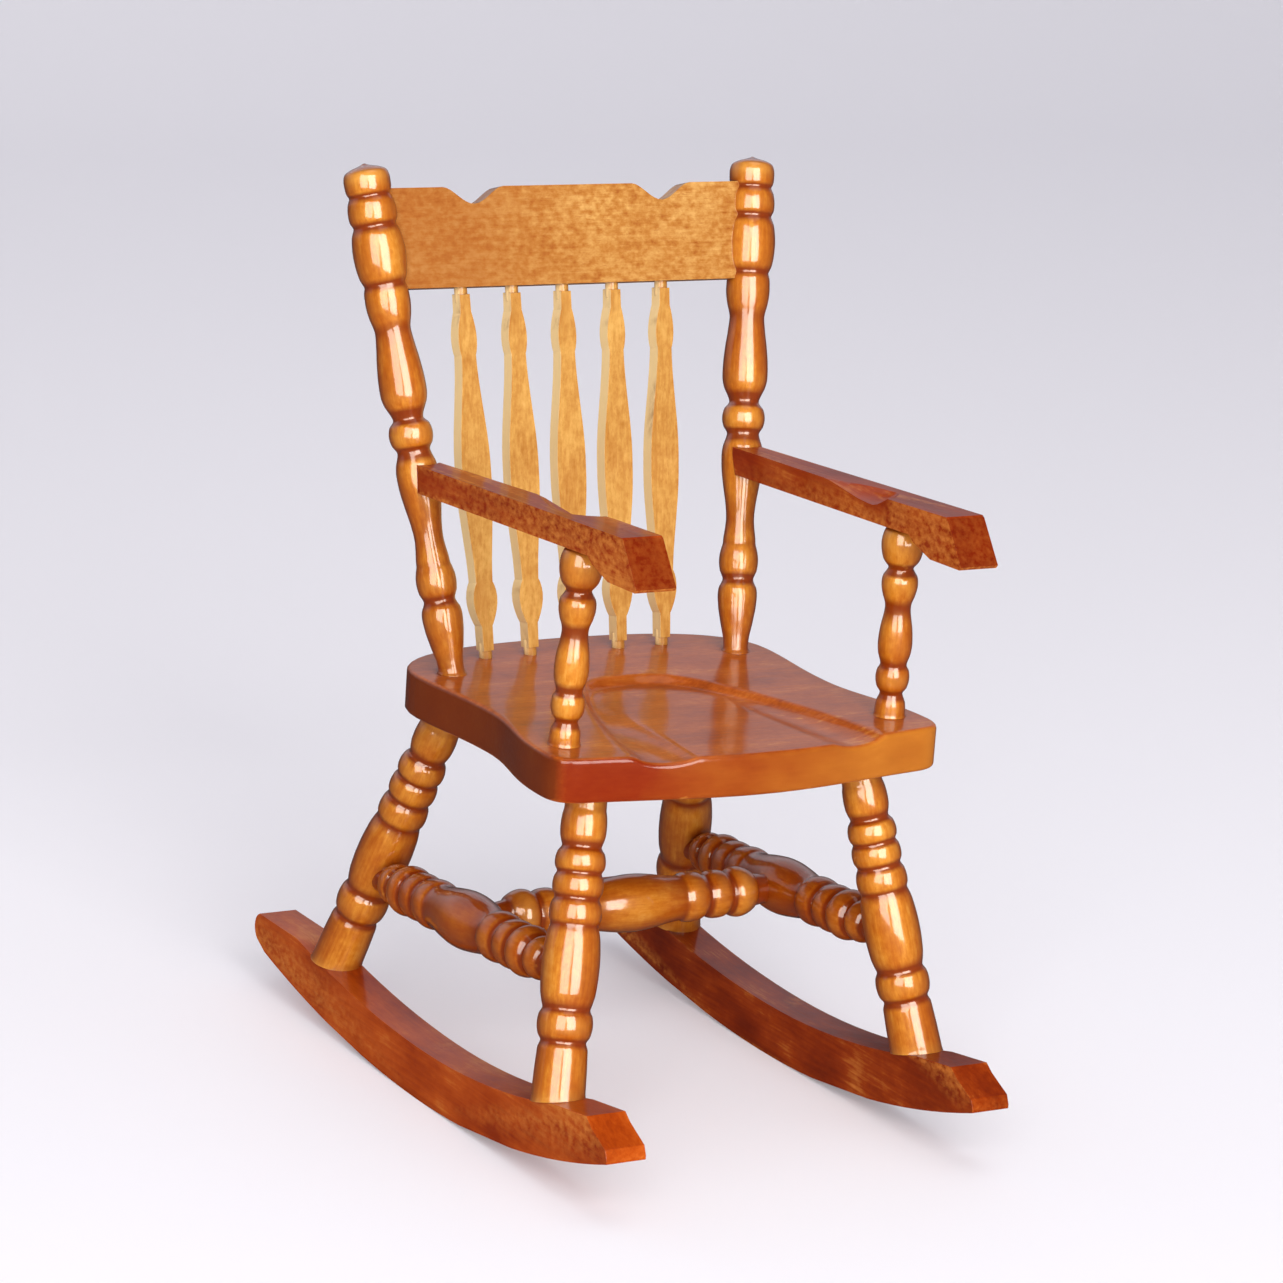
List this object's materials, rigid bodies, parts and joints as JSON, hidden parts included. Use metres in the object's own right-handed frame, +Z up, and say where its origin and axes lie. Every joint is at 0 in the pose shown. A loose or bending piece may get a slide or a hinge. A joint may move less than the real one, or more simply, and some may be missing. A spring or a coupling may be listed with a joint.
{
  "type": "dolls house rocking chair",
  "caption": "Dolls house wooden rocking chair with turned legs and posts, slatted back, notched crest rail, shaped arms, scooped seat and curved rockers.",
  "frame": {"origin": "on the floor, midway between the rockers, directly under the lowest line of both rocker arcs", "axes": "+Z up, -Y the way the sitter faces, +X to the right as seen from in front of the chair; the seat is level"},
  "size_m": [0.0604, 0.0924, 0.1105],
  "materials": {
    "turned_wood": "high gloss honey-orange varnish on turned wood, darker in the grooves",
    "pale_wood": "satin golden varnish on sawn slats and crest rail",
    "seat_wood": "satin brown varnish with rubbed edges",
    "arm_wood": "satin red-brown varnish",
    "rocker_wood": "satin red-brown varnish"
  },
  "bodies": {
    "root": {"seat": "seat_wood", "back_post_left": "turned_wood", "back_post_right": "turned_wood", "crest_rail": "pale_wood", "slat_1": "pale_wood", "slat_2": "pale_wood", "slat_3": "pale_wood", "slat_4": "pale_wood", "slat_5": "pale_wood", "arm_left": "arm_wood", "arm_right": "arm_wood", "arm_support_left": "turned_wood", "arm_support_right": "turned_wood", "front_leg_left": "turned_wood", "front_leg_right": "turned_wood", "rear_leg_left": "turned_wood", "rear_leg_right": "turned_wood", "side_stretcher_left": "turned_wood", "side_stretcher_right": "turned_wood", "cross_stretcher": "turned_wood", "rocker_left": "rocker_wood", "rocker_right": "rocker_wood"}
  },
  "joints": []
}
